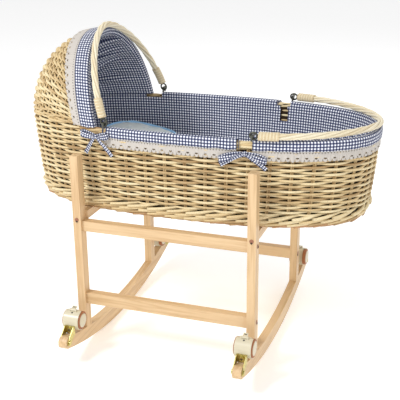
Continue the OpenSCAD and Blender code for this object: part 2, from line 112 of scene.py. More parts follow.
# ---- Mesh builders ----
def build(name, co, quads, body, mat, tone=None, uv=None, solid=0.0):
    """A piece from points in millimetres and four-sided faces; solid is a sheet's thickness."""
    co = np.asarray(co, float).reshape(-1, 3).copy()
    co[:, 0] -= SHIFT
    co *= 0.001
    quads = np.asarray(quads, np.int32)
    me = bpy.data.meshes.new(name)
    me.vertices.add(len(co))
    me.vertices.foreach_set("co", co.astype(np.float32).ravel())
    me.loops.add(quads.size)
    me.loops.foreach_set("vertex_index", quads.ravel())
    me.polygons.add(len(quads))
    me.polygons.foreach_set("loop_start", np.arange(0, quads.size, quads.shape[1], dtype=np.int32))
    me.polygons.foreach_set("use_smooth", np.full(len(quads), True))
    if uv is not None:
        layer = me.uv_layers.new(name="UVMap")
        layer.data.foreach_set("uv", np.asarray(uv, np.float32).reshape(-1, 2)[quads.ravel()].ravel())
    if tone is not None:
        a = me.attributes.new("tone", "FLOAT", "POINT")
        a.data.foreach_set("value", np.asarray(tone, np.float32).ravel())
    me.update(calc_edges=True)
    me.validate()
    ob = bpy.data.objects.new(name, me)
    bpy.context.scene.collection.objects.link(ob)
    me.materials.append(mat)
    if solid:
        m = ob.modifiers.new("thick", "SOLIDIFY")
        m.thickness = solid * 0.001
        m.offset = 0
    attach(ob, body)
    return ob


def cells(n, m, closed=False):
    """The faces of an n by m grid of points, which may close on itself along n."""
    i = np.arange(n if closed else n - 1)[:, None]
    j = np.arange(m - 1)[None, :]
    after = (i + 1) % n
    return np.stack([i * m + j, after * m + j, after * m + j + 1, i * m + j + 1], -1).reshape(-1, 4)


class Rods:
    """Collects round rods, each a path with a radius and a tone, into one mesh."""

    def __init__(self, sides=8):
        self.sides, self.co, self.quads, self.tone, self.n = sides, [], [], [], 0

    def add(self, path, radius, tone, ref, closed=False):
        """One rod; ref is any direction that the path doesn't run along."""
        p = np.asarray(path, float)
        m = len(p)
        r = np.broadcast_to(np.asarray(radius, float), (m,))
        if closed:
            t = np.roll(p, -1, 0) - np.roll(p, 1, 0)
        else:
            t = np.gradient(p, axis=0)
        t /= np.linalg.norm(t, axis=1)[:, None] + 1e-12
        ref = np.broadcast_to(np.asarray(ref, float), p.shape)
        u = np.cross(t, ref)
        u /= np.linalg.norm(u, axis=1)[:, None] + 1e-12
        v = np.cross(u, t)
        a = np.arange(self.sides) * 2 * math.pi / self.sides
        ring = p[:, None] + r[:, None, None] * (
            np.cos(a)[None, :, None] * u[:, None] + np.sin(a)[None, :, None] * v[:, None]
        )
        k = self.sides
        i = np.arange(m if closed else m - 1)[:, None]
        j = np.arange(k)[None, :]
        nx = (i + 1) % m
        q = np.stack([i * k + j, i * k + (j + 1) % k, nx * k + (j + 1) % k, nx * k + j], -1).reshape(-1, 4)
        if not closed:
            pairs = zip(range(k // 2 - 1), range(k - 1, k // 2, -1))
            caps = np.array([[left, left + 1, right - 1, right] for left, right in pairs])
            q = np.concatenate([q, caps, (m - 1) * k + caps[:, ::-1]])
        self.co.append(ring.reshape(-1, 3))
        self.quads.append(q + self.n)
        self.tone.append(np.repeat(np.broadcast_to(np.asarray(tone, float), (m,)), k))
        self.n += m * k

    def done(self, name, body, mat):
        """Builds the piece from the rods collected so far."""
        co, quads, tone = (np.concatenate(x) for x in (self.co, self.quads, self.tone))
        return build(name, co, quads, body, mat, tone)


def grid(name, P, uv, body, mat, closed=False, keep=None, solid=0.0):
    """A sheet through a grid of points; keep says which of its cells are there."""
    if closed:  # the seam needs its own column so that the checks don't run back
        P = np.concatenate([P, P[:1]])
        uv = np.concatenate([uv, uv[-1:] + (uv[-1:] - uv[-2:-1])])
    q = cells(*P.shape[:2])
    co, uv = P.reshape(-1, 3), uv.reshape(-1, 2)
    if keep is not None:
        used, q = np.unique(q[np.asarray(keep).reshape(-1)], return_inverse=True)
        co, uv, q = co[used], uv[used], q.reshape(-1, 4)
    return build(name, co, q, body, mat, uv=uv, solid=solid)


def along(P, axis):
    """Running length in metres along one axis of a grid of points."""
    d = np.linalg.norm(np.diff(P, axis=axis), axis=-1)
    pad = np.zeros_like(np.take(d, [0], axis=axis))
    return np.cumsum(np.concatenate([pad, d], axis=axis), axis=axis) * 0.001


# ---- Materials ----
class Mat:
    """A Principled material and short ways to add nodes to it."""

    def __init__(self, name, rough=0.6, color=(0.8, 0.8, 0.8), metal=0.0, spec=0.5, coat=0.0, sheen=0.0):
        self.m = bpy.data.materials.new(name)
        self.m.use_nodes = True
        self.t = self.m.node_tree
        self.b = self.t.nodes["Principled BSDF"]
        self.b.inputs["Base Color"].default_value = (*color, 1)
        self.b.inputs["Roughness"].default_value = rough
        self.b.inputs["Metallic"].default_value = metal
        self.b.inputs["Specular IOR Level"].default_value = spec
        self.b.inputs["Coat Weight"].default_value = coat
        self.b.inputs["Sheen Weight"].default_value = sheen

    def node(self, kind, **inputs):
        """A shader node; i0, i1 and so on set or link its inputs."""
        n = self.t.nodes.new("ShaderNode" + kind)
        for k, v in inputs.items():
            if k in ("operation", "attribute_name"):
                setattr(n, k, v)
        for k, v in inputs.items():
            if k.startswith("i"):
                s = n.inputs[int(k[1:])]
                if isinstance(v, (float, int, tuple)):
                    s.default_value = v
                else:
                    self.t.links.new(v, s)
        return n

    def math(self, op, a, b=0.0):
        return self.node("Math", operation=op, i0=a, i1=b).outputs[0]

    def mix(self, fac, a, b):
        """Colour a turning into colour b as fac rises."""
        n = self.t.nodes.new("ShaderNodeMix")
        n.data_type = "RGBA"
        for sock, v in ((n.inputs["Factor"], fac), (n.inputs[6], a), (n.inputs[7], b)):
            if isinstance(v, (float, int)):
                sock.default_value = v
            elif isinstance(v, tuple):
                sock.default_value = (*v, 1) if len(v) == 3 else v
            else:
                self.t.links.new(v, sock)
        return n.outputs[2]

    def ramp(self, fac, stops):
        """A colour ramp; stops are pairs of a place and a colour."""
        n = self.t.nodes.new("ShaderNodeValToRGB")
        e = n.color_ramp.elements
        while len(e) < len(stops):
            e.new(0.5)
        for el, (pos, col) in zip(e, stops):
            el.position = pos
            el.color = (*col, 1)
        self.t.links.new(fac, n.inputs[0])
        return n.outputs[0]

    def noise(self, scale, stretch=(1, 1, 1), detail=4.0, rough=0.55):
        """Noise whose grain is drawn out along the axes where stretch is small."""
        c = self.t.nodes.new("ShaderNodeTexCoord").outputs["Object"]
        mp = self.t.nodes.new("ShaderNodeMapping")
        mp.inputs["Scale"].default_value = stretch
        self.t.links.new(c, mp.inputs["Vector"])
        n = self.t.nodes.new("ShaderNodeTexNoise")
        n.inputs["Scale"].default_value = scale
        n.inputs["Detail"].default_value = detail
        n.inputs["Roughness"].default_value = rough
        self.t.links.new(mp.outputs[0], n.inputs["Vector"])
        return n.outputs[0]

    def bump(self, height, strength, dist):
        n = self.t.nodes.new("ShaderNodeBump")
        n.inputs["Strength"].default_value = strength
        n.inputs["Distance"].default_value = dist
        self.t.links.new(height, n.inputs["Height"])
        self.t.links.new(n.outputs[0], self.b.inputs["Normal"])

    def color(self, out):
        self.t.links.new(out, self.b.inputs["Base Color"])

    def rough(self, out, low, high):
        """Roughness between low and high, as out goes from 0 to 1."""
        n = self.t.nodes.new("ShaderNodeMapRange")
        n.inputs["To Min"].default_value = low
        n.inputs["To Max"].default_value = high
        self.t.links.new(out, n.inputs["Value"])
        self.t.links.new(n.outputs[0], self.b.inputs["Roughness"])


def willow(name, light, mid, dark, red):
    """Peeled rods, whose tone attribute goes from light through dark to red."""
    m = Mat(name, rough=0.48, spec=0.4)
    tone = m.node("Attribute", attribute_name="tone").outputs["Fac"]
    base = m.ramp(tone, [(0.0, light), (0.4, mid), (0.72, dark), (0.9, red), (1.0, red)])
    blotch = m.noise(38.0, detail=3.0)
    streak = m.noise(420.0, detail=3.0)
    c = m.mix(m.math("MULTIPLY", blotch, 0.30), base, tuple(x * 0.72 for x in mid))
    c = m.mix(m.math("MULTIPLY", m.math("POWER", streak, 3.0), 0.9), c, tuple(x * 0.45 for x in dark))
    m.color(c)
    m.rough(blotch, 0.38, 0.62)
    m.bump(streak, 0.25, 0.0006)
    return m.m


def pine(name, axis):
    """Pine with its grain along one axis."""
    m = Mat(name, rough=0.42, spec=0.4, coat=0.15)
    m.b.inputs["Coat Roughness"].default_value = 0.3
    long = [1.0, 1.0, 1.0]
    long[axis] = 0.045
    grain = m.noise(26.0, tuple(long), detail=5.0, rough=0.6)
    fine_s = [1.0, 1.0, 1.0]
    fine_s[axis] = 0.02
    fine = m.noise(260.0, tuple(fine_s), detail=3.0)
    bands = m.math("FRACT", m.math("MULTIPLY", grain, 7.0))
    off_middle = m.math("ABSOLUTE", m.math("SUBTRACT", m.math("MULTIPLY", bands, 2.0), 1.0))
    soft = m.math("SUBTRACT", 1.0, off_middle)
    c = m.mix(m.math("MULTIPLY", m.math("POWER", soft, 2.0), 0.75), (0.74, 0.53, 0.30), (0.50, 0.30, 0.13))
    c = m.mix(m.math("MULTIPLY", fine, 0.30), c, (0.80, 0.62, 0.40))
    c = m.mix(m.math("MULTIPLY", m.noise(7.0, detail=2.0), 0.40), c, (0.62, 0.38, 0.18))
    m.color(c)
    m.rough(grain, 0.36, 0.52)
    m.bump(fine, 0.12, 0.0004)
    return m.m


def gingham(name, period):
    """Two crossing sets of woven stripes, laid out by the piece's UVs in metres."""
    m = Mat(name, rough=0.9, spec=0.2, sheen=0.15)
    sep = m.node("SeparateXYZ", i0=m.t.nodes.new("ShaderNodeTexCoord").outputs["UV"])
    a, b = (
        m.math("LESS_THAN", m.math("FRACT", m.math("DIVIDE", sep.outputs[k], period)), 0.5) for k in (0, 1)
    )
    s = m.math("MULTIPLY", m.math("ADD", a, b), 0.5)
    c = m.ramp(s, [(0.0, (0.93, 0.94, 0.96)), (0.5, (0.105, 0.125, 0.235)), (1.0, (0.006, 0.009, 0.034))])
    thread = m.noise(900.0, detail=2.0)
    m.color(m.mix(m.math("MULTIPLY", thread, 0.10), c, (0.45, 0.48, 0.60)))
    m.bump(thread, 0.35, 0.0004)
    return m.m


def cloth(name, color, scale=700.0, sheen=0.1, print_color=None):
    """Plain matt cloth, with faint spots of print_color where it's given."""
    m = Mat(name, rough=0.92, spec=0.15, sheen=sheen, color=color)
    n = m.noise(scale, detail=2.0)
    c = m.mix(m.math("MULTIPLY", n, 0.18), color, tuple(x * 0.72 for x in color))
    if print_color:
        blob = m.noise(70.0, detail=2.0)
        c = m.mix(m.math("MULTIPLY", m.math("GREATER_THAN", blob, 0.60), 0.75), c, print_color)
    m.color(c)
    m.bump(n, 0.3, 0.0004)
    return m.m


def plastic(name, color, rough=0.3):
    """Moulded plastic with slight cloudiness."""
    m = Mat(name, rough=rough, color=color, spec=0.5)
    n = m.noise(60.0, detail=2.0)
    m.color(m.mix(m.math("MULTIPLY", n, 0.15), color, tuple(x * 0.8 for x in color)))
    m.rough(n, rough * 0.8, rough * 1.4)
    return m.m


def metal(name, color, rough, tint):
    """Metal that clouds over from color to tint."""
    m = Mat(name, rough=rough, color=color, metal=1.0)
    n = m.noise(120.0, detail=3.0)
    m.color(m.mix(n, color, tint))
    m.rough(n, rough * 0.7, rough * 1.4)
    return m.m


STRAW = willow("willow", (0.93, 0.80, 0.51), (0.76, 0.58, 0.31), (0.42, 0.26, 0.11), (0.50, 0.25, 0.11))
PEELED = willow(
    "willow_peeled", (0.95, 0.87, 0.68), (0.90, 0.80, 0.58), (0.76, 0.60, 0.36), (0.70, 0.48, 0.27)
)
# A dark matt cloth of painted shade, for the sheets that stand in for the unlit inside of the weave
SHADE = cloth("willow_inside_painted_shade", (0.030, 0.018, 0.008))
PINE = [pine("pine_" + "xyz"[k], k) for k in range(3)]
GINGHAM = gingham("gingham", CHECK)
RIBBON = gingham("gingham_ribbon", CHECK * 0.85)
LACE = cloth("lace", (0.57, 0.53, 0.485))
SHEETING = cloth("mattress_cover", (0.88, 0.89, 0.90))
PRINTED = cloth("pillow_cover", (0.86, 0.91, 0.90), print_color=(0.64, 0.76, 0.80))
PIPING = cloth("piping", (0.36, 0.64, 0.94))
CREAM = plastic("cream_plastic", (0.68, 0.62, 0.46), 0.28)
RUST = plastic("tread", (0.36, 0.13, 0.045), 0.45)
# Black matt plastic of painted shade, for the hole, slots and notch that show dark
RECESS_SHADE = plastic("black_hole", (0.008, 0.008, 0.008), 0.7)
BRASS = metal("yellow_zinc", (0.72, 0.62, 0.22), 0.28, (0.50, 0.46, 0.20))
STEEL = metal("dark_ring", (0.07, 0.075, 0.065), 0.32, (0.16, 0.155, 0.12))
BOLT = metal("bolt", (0.46, 0.21, 0.13), 0.35, (0.25, 0.13, 0.09))


# ---- Stand: the CAD nodes with grain along each board ----
def dress(node, mat, bevel=0.0):
    """Gives a CAD node its material, and rounds its edges by bevel metres."""
    """Gives a CAD node its material and softens its edges."""
    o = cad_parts[node]
    o.data.materials.clear()
    o.data.materials.append(mat)
    if bevel:
        m = o.modifiers.new("edge", "BEVEL")
        m.width = bevel
        m.segments = 3
        m.limit_method = "ANGLE"
        m.angle_limit = math.radians(40)


SIDES = [f"{y}_{x}" for y in ("near", "far") for x in ("head", "foot")]
for c in SIDES:
    dress("post_" + c, PINE[2], 0.0018)
    dress("fork_" + c, BRASS, 0.0004)
    dress("stem_" + c, BRASS, 0.0004)
    dress("axle_" + c, BRASS)
    dress("caster_hood_" + c, CREAM, 0.0006)
    dress("brake_" + c, CREAM, 0.0005)
    for w in ("wheel_in_", "wheel_out_"):
        dress(w + c, RUST)
for c in ("head", "foot"):
    dress("rocker_" + c, PINE[1], 0.0018)
    dress("cross_board_" + c, PINE[1], 0.0015)
for n in ("rail_upper_near", "rail_upper_far", "rail_lower_near", "rail_lower_far"):
    dress(n, PINE[0], 0.0018)
dress("frame_bolts", BOLT, 0.0005)
dress("caster_pivots", BRASS, 0.0004)
dress("handle_staples", STEEL)
dress("basket_base", STRAW)

# ---- Basket wall: weavers over and under upright stakes ----
rods = Rods(8)
M = STAKES * 9
s = np.arange(M) / M
for k in range(ROWS):
    z = FIRST_ROW + k * PITCH + smooth_noise(M, 24, 0.45)
    wave = np.cos(math.pi * (s * STAKES + k))
    d = -4.2 + 4.0 * spow(wave, 0.8)
    tone, r, start = np.zeros(M), np.zeros(M), int(rng.integers(0, M))
    at = 0
    while at < M:  # rods follow one another, each tapering over some stakes
        n = int(rng.integers(10, 17)) * 9
        idx = (start + np.arange(at, min(M, at + n))) % M
        tone[idx] = np.clip(rng.normal(0.27, 0.21), 0, 0.72)
        r[idx] = 2.85 - 0.5 * np.arange(len(idx)) / max(1, n)
        at += n
    r = (np.roll(r, 1) + r + np.roll(r, -1)) / 3
    rods.add(oval(turn(s), z, d), r, tone, (0, 0, 1), closed=True)
for z0, k in ((501.0, 0), (506.6, 1)):  # two more courses under the hood, where no rope covers them
    sh = np.linspace(share_at(ROPE_END + 1, True), share_at(ROPE_END + 1, False), 900)
    d = -4.4 + 3.7 * spow(np.cos(math.pi * (sh * STAKES + k)), 0.8)
    rods.add(oval(turn(sh), z0, d), 2.8, 0.2 + 0.2 * k, (0, 0, 1))
weave = rods.done("wall_weave", "basket", STRAW)
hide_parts("basket_wall")

# A dark sheet of painted shade for the unlit back of the weave, between the rods and the lining
sh = np.arange(300) / 300
z = np.linspace(324.5, 504, 12)
P = oval(turn(sh)[:, None], z[None], -9.6)
shade_sheet = grid("wall_back", P, np.zeros((300, 12, 2)), "basket", SHADE, closed=True)

# Stakes in pairs
rods = Rods(6)
z = np.linspace(330, 503, 16)
for k in range(STAKES):
    for off in (-1.9, 1.9):
        t = turn(np.full_like(z, k / STAKES + off / PERIM))
        rods.add(oval(t, z, WEAVE_D), 1.9, rng.uniform(0.3, 0.7), (1, 0.3, 0))
rods.done("wall_stakes", "basket", STRAW)

# Waling above the foot: courses of thick rods with their cut ends showing
rods = Rods(8)


def shingles(count, start, length, z0, z1, d0, d1, bulge, radius, tones):
    """A course of short rods laid like shingles, each ending on top of the next one."""
    u = np.linspace(0, 1, 18)
    for k in range(count):
        sh = (k + start + rng.uniform(-0.05, 0.05)) / count + u * length / PERIM
        d = d0 + (d1 - d0) * u**1.4 + bulge * np.sin(math.pi * u) + rng.uniform(-0.3, 0.3)
        z = z0 + (z1 - z0) * u + rng.uniform(-0.7, 0.7)
        rods.add(oval(turn(sh), z, d), rng.uniform(0.92, 1.08) * radius, rng.uniform(*tones), (0, 0, 1))


shingles(STAKES, 0.1, 64, 342.0, 349.8, 5.4, -6.0, 1.0, 3.3, (0.0, 0.4))
shingles(STAKES, 0.55, 74, 334.8, 342.0, 2.6, -8.0, 3.8, 3.1, (0.1, 0.55))
shingles(STAKES, 0.0, 78, 329.0, 337.5, 2.0, -7.5, 3.4, 3.0, (0.1, 0.7))
rods.done("waling", "basket", STRAW)


def twist(rods, s0, s1, z, d, r_helix, r_rod, strands, lay, tones, n=700, closed=True):
    """A rope of strands laid round the oval, one turn in each lay millimetres."""
    sh = s0 + (s1 - s0) * np.arange(n) / (n if closed else n - 1)
    turns = round((s1 - s0) * PERIM / lay)
    for k in range(strands):
        a = 2 * math.pi * (turns * np.linspace(0, 1, n, endpoint=not closed) + k / strands)
        r = r_rod * (1 + smooth_noise(n, 20, 0.05))
        tone = rng.uniform(*tones, n // 50 + 1).repeat(50)[:n]
        path = oval(turn(sh), z + r_helix * np.sin(a), d + r_helix * np.cos(a))
        rods.add(path, r, tone, (0, 0, 1), closed=closed)


rods = Rods(8)
shingles(STAKES, 0.3, 66, 325.8, 333.0, 4.6, -6.0, 0.6, 2.4, (0.5, 1.0))
twist(rods, 0, 1, 327.4, -0.6, 2.5, 2.2, 4, 112, (0.7, 1.0))
plait = rods.done("foot_plait", "basket", STRAW)
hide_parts("foot_border")

rods = Rods(8)
rope = share_at(ROPE_END, False) - 1, share_at(ROPE_END, True)
twist(rods, *rope, ROPE_Z, WEAVE_D, 3.2, 3.0, 4, 130, (0.1, 0.8), n=900, closed=False)
rim = rods.done("rim_rope", "basket", STRAW)
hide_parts("rim_border")

# ---- Hood: arcs that fan up from the front corners, over ribs that rise from the head end ----
CREST = -HOOD_FRONT - HOOD_H * HOOD_LEAN
REACH = RIM_A - CX + CREST


def hood_up(x, d):
    """How high the hood's crest is above the rim at place x."""
    return (HOOD_H + d) * np.sqrt(np.maximum(0, 1 - (np.maximum(0, CREST - x) / (REACH + d)) ** 2))


def hood_at(s, f, d, skip):
    """Places on the hood: s from front to head end, f round the arch, d outwards, skip behind its edge."""
    arc = spow(np.sin(f), 2 / HOOD_POW)
    front = -HOOD_FRONT - skip - HOOD_LEAN * HOOD_H * arc
    x = front + (CX - RIM_A - d - front) * np.sin(s * math.pi / 2)
    y = oval_w(x, RIM_A + d, RIM_B + d) * spow(np.cos(f), 2 / HOOD_POW)
    return np.stack(np.broadcast_arrays(x, y, TOP + hood_up(x, d) * arc), -1)


def resample(p, n):
    """A line with n evenly spaced points."""
    d = np.concatenate([[0], np.cumsum(np.linalg.norm(np.diff(p, axis=0), axis=1))])
    w = np.linspace(0, d[-1], n)
    return np.stack([np.interp(w, d, p[:, k]) for k in range(3)], 1)


def hood_row(angle, shift_d):
    """The hood's outline in the plane through the front corners at that angle above the head end."""
    rho = np.linspace(0, 330, 1500)
    x = FAN_X - rho * math.cos(angle)
    zr = FAN_Z + rho * math.sin(angle)
    up = hood_up(x, shift_d)
    ok = (zr >= -2) & (x > CX - RIM_A - shift_d) & (zr <= up) & (x <= -HOOD_FRONT - 9 - HOOD_LEAN * zr)
    x, zr, up = x[ok], np.maximum(zr[ok], 0), up[ok]
    if len(x) < 20:
        return None
    q = np.minimum(1, zr / np.maximum(up, 1e-6))
    y = oval_w(x, RIM_A + shift_d, RIM_B + shift_d) * np.maximum(0, 1 - q**HOOD_POW) ** (1 / HOOD_POW)
    half = np.stack([x, -y, TOP + zr], 1)
    half = np.concatenate([half, [[half[-1, 0], 0, half[-1, 2]]]])
    return np.concatenate([half, half[-2::-1] * [1, -1, 1]])


rods = Rods(8)
N = 170
w = np.linspace(0, 1, N)
bunched = w - RIB_SPREAD * np.sin(2 * math.pi * w) / (2 * math.pi)  # ribs stand closer at the head end
middle = np.array([-200.0, 0, TOP])
near_end = np.minimum(np.arange(N), np.arange(N)[::-1]) / (N / 2)
hood_rows = []
for k, angle in enumerate(np.radians(np.linspace(1.6, 96, 45))):
    centre = hood_row(angle, WEAVE_D)
    if centre is None:
        continue
    p = resample(centre, N)
    hood_rows.append(p)
    out = p - middle
    out /= np.linalg.norm(out, axis=1)[:, None]
    wave = np.cos(math.pi * (RIBS * bunched + k))
    r = 1.9 + 0.95 * np.minimum(1, near_end * 2.2) + smooth_noise(N, 8, 0.15)
    rods.add(p + out * (3.5 * wave)[:, None], r, np.clip(rng.normal(0.33, 0.17), 0, 0.75), out)
hood = rods.done("hood_weave", "basket", STRAW)
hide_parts("hood_shell")
rods = Rods(6)
for m in range(1, RIBS):
    at = int(np.argmin(np.abs(bunched - m / RIBS)))
    line = np.array([row[at] for row in hood_rows])
    rods.add(line, 2.4, rng.uniform(0.2, 0.6), (line - middle) * [0, 1, 1] + [0.01, 0, 0])
rods.done("hood_ribs", "basket", STRAW)
# A dark sheet of painted shade for the unlit back of the hood's weave
f = np.linspace(0, math.pi, 90)
P = np.stack([hood_at(w, f, -9.8, 9) for w in np.linspace(0, 0.985, 30)], 1)
shade_sheet = grid("hood_back", P, np.zeros((90, 30, 2)), "basket", SHADE)

# ---- Lining: up the inside, over the rim and down the outside ----
NU = 900
su = np.arange(NU) / NU
tu = turn(su)
INSIDE = 24  # points of the profile that are inside the basket
profile = [(-12.2, z) for z in np.linspace(335, 500, INSIDE)]
profile += [(-11.6, 505.5), (-9.5, 509.0), (-6.0, 510.4), (-2.0, 510.2), (1.2, 508.6), (2.6, 505.0)]
profile += [(2.9, z) for z in np.linspace(501, FOLD_Z, 5)]
pd, pz = np.array(profile).T
gather = smooth_noise(NU, 90, 1.1) + smooth_noise(NU, 46, 0.9)
puff = smooth_noise(NU, 40, 1.6) + smooth_noise(NU, 14, 1.0)
depth = np.clip((TOP - pz) / 18, 0, 1) * (pd > 0)
inside = np.sin(np.clip((pz - 335) / 165, 0, 1) * math.pi) * (pd < -12)
D = pd[None] + np.abs(gather)[:, None] * depth[None] + (-1.0 - puff)[:, None] * inside[None] * 0.9
Z = pz[None] + (smooth_noise(NU, 60, 0.5)[:, None] * depth[None])
# Under the hood the lining runs straight up instead of over the rim
step = np.arange(len(pz))[None]
under = (oval(tu[:, None], Z, D)[:, 12, 0] < HEAD_NOTCH[0])[:, None] & (step >= INSIDE)
D = np.where(under, -12.6 - 0.6 * puff[:, None], D)
Z = np.where(under, np.minimum(500 + (step - INSIDE + 1) * 2.2, 514), Z)
P = oval(tu[:, None], Z, D)
uv = np.stack(np.broadcast_arrays((su * PERIM * 0.001)[:, None], along(P, 1)[:1]), -1)
xm = P[:, :, 0]
head_notch = (xm < HEAD_NOTCH[1]) & (xm > HEAD_NOTCH[0])
foot_notch = (xm > FOOT_NOTCH[0]) & (xm < FOOT_NOTCH[1])
bare = (pd > -11.9)[None] & (head_notch | foot_notch)
bare |= (xm < HEAD_NOTCH[0]) & (step > INSIDE + 5)
bare |= (xm > 160) & (xm < 178) & (pz > 468)[None] & (P[:, :, 1] > 0)  # the slit at the far foot handle
keep = ~bare
keep = keep[:, :-1] & keep[:, 1:]
lining = grid("lining", P, uv, "basket", GINGHAM, closed=True, keep=keep, solid=0.9)
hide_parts("basket_lining")

# The cut ends of the fold, tucked in round the rope at each bare notch
fold_line = np.arange(len(pz)) >= INSIDE - 2
shrink = np.linspace(0, 0.9, 5)[None, :, None]
ends = [(x, far) for x in (HEAD_NOTCH[1], *FOOT_NOTCH) for far in (True, False)]
for k, (x, far) in enumerate(ends):
    row = int(round(share_at(x, far) * NU)) % NU
    line = np.stack([D[row], Z[row]], 1)[fold_line][:, None]
    tuck = line + ([WEAVE_D, ROPE_Z] - line) * shrink
    P = oval(np.full(tuck.shape[:2], tu[row]), tuck[..., 1], tuck[..., 0])
    uv = np.stack([along(P, 0), along(P, 1)], -1)
    grid(f"notch_end_{k}", P, uv, "basket", GINGHAM, solid=0.9)


def lace_keep(u, v, width):
    """Which cells of a lace strip are thread: u along it, v down it in millimetres."""
    edge = width + 2.2 * np.abs(np.sin(math.pi * u / 9.0)) - 2.2
    solid = v < edge
    eyelet = ((np.mod(u, 6.0) - 3.0) ** 2 + (v - 4.5) ** 2) < 1.15**2
    sprig = ((np.mod(u + 4.5, 18.0) - 9.0) ** 2 / 4.0 + (v - width + 7.0) ** 2) < 1.6**2
    sprig |= ((np.mod(u + 4.5, 9.0) - 4.5) ** 2 + (v - width + 3.6) ** 2) < 0.9**2
    return solid & ~eyelet & ~sprig


# ---- Lace below the fold ----
NL = 1900
start = -(1 - share_at(HEAD_NOTCH[1], False))
sl = np.linspace(start, share_at(HEAD_NOTCH[1], True), NL)
v = np.linspace(0, LACE_DROP, 20)
wavy = smooth_noise(NL, 150, 0.8, wraps=False) + smooth_noise(NL, 60, 0.7, wraps=False)
Dl = 1.5 + np.abs(wavy)[:, None] * (v / LACE_DROP)[None] * 1.6
P = oval(turn(sl)[:, None], (LACE_Z - v)[None] + wavy[:, None] * 0.3, Dl)
ul = (sl - start) * PERIM
uc = (ul[:-1] + ul[1:])[:, None] / 2
vc = (v[:-1] + v[1:])[None] / 2
xc = P[:-1, :-1, 0]
keep = lace_keep(uc, vc, LACE_DROP) & ~((xc > FOOT_NOTCH[0]) & (xc < FOOT_NOTCH[1]))
uv = np.stack(np.broadcast_arrays(ul[:, None] * 0.001, v[None] * 0.001), -1)
lace = grid("rim_lace_trim", P, uv, "basket", LACE, keep=keep, solid=0.6)
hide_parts("rim_lace")

# ---- Hood cloth: turned over the front edge outside, gathered inside ----
NF = 420
f = np.linspace(0.0, math.pi, NF)
arc = np.sin(f)
forward = 7 * (1 - arc**2)  # the edge comes further forward at the sides
cols = []
tuck = smooth_noise(NF, 34, 0.7, wraps=False)
for w in np.linspace(1, 0, 8):
    cols.append(hood_at(0, f, 2.5 + np.abs(tuck) * (1 - abs(2 * w - 1)), w * (30 - 2 * arc) + 3 - forward))
for a in np.linspace(0, math.pi, 7)[1:-1]:
    cols.append(hood_at(0, f, -5.0 + 7.5 * math.cos(a), 3 - 4.5 * math.sin(a) - forward))
g1 = smooth_noise(NF, 22, 9.0, wraps=False)
g2 = smooth_noise(NF, 40, 4.0, wraps=False)
g3 = smooth_noise(NF, 9, 8.0, wraps=False)
for w in np.linspace(0, 1, 60):
    amp = 0.15 + 0.85 * min(1, w * 2.2)
    sweep = 6.0 * np.sin(7.5 * f + 5.0 * w + 0.6) + 3.0 * np.sin(13.0 * f - 7.0 * w)
    drift = np.roll(g1, int(26 * w)) + g2 + np.roll(g3, -int(60 * w))
    fold = (drift + sweep) * amp * np.clip(arc * 4, 0, 1)
    cols.append(hood_at(0.965 * w, f, -13.0 - np.clip(fold + 7.0 * amp, 0, 26), 3 - forward * (1 - w)))
P = np.stack(cols, 1)
uv = np.stack([along(P, 0)[:, 6:7] * np.ones(P.shape[1]), along(P, 1)], -1)
hood_cloth = grid("hood_cloth", P, uv, "basket", GINGHAM, solid=0.9)
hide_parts("hood_lining")

# Lace behind the hood's fold
NF = 620
f = np.linspace(0.0, math.pi, NF)
width = 20 + 11 * np.sin(f)
v = np.linspace(0, 1, 22)
frill = smooth_noise(NF, 70, 0.8, False)
P = np.stack([hood_at(0, f, 2.0 + np.abs(frill) * w * 1.8, 26 + 3 * np.sin(f) + w * width) for w in v], 1)
ul = along(P, 0)[:, 0] * 1000
uc = (ul[:-1] + ul[1:])[:, None] / 2
wc = (width[:-1] + width[1:])[:, None] / 2
vc = wc * (v[:-1] + v[1:])[None] / 2
uv = np.stack(np.broadcast_arrays(ul[:, None] * 0.001, v[None] * width[:, None] * 0.001), -1)
hood_lace = grid("hood_lace_trim", P, uv, "basket", LACE, keep=lace_keep(uc, vc, wc), solid=0.6)
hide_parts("hood_lace")


# ---- Bows ----
def ribbon(parts, path, width, wdir):
    """Adds a flat ribbon along a path; wdir is the direction of its width."""
    n = 40
    p = resample(np.array(path, float), n)
    w = np.interp(np.linspace(0, 1, n), np.linspace(0, 1, len(width)), width)
    wd = np.broadcast_to(np.asarray(wdir, float), p.shape)
    t = np.gradient(p, axis=0)
    t /= np.linalg.norm(t, axis=1)[:, None]
    wd = wd - (wd * t).sum(1)[:, None] * t
    wd /= np.linalg.norm(wd, axis=1)[:, None] + 1e-9
    c = np.linspace(-0.5, 0.5, 7)
    curl = (0.9 * np.cos(c * 9))[None, :, None] * (w[:, None, None] / 12)
    g = p[:, None] + wd[:, None] * (c[None, :, None] * w[:, None, None]) - np.cross(t, wd)[:, None] * curl
    parts.append((g, np.stack(np.broadcast_arrays(along(g, 0)[:, 3:4], (c * 0.012)[None]), -1)))


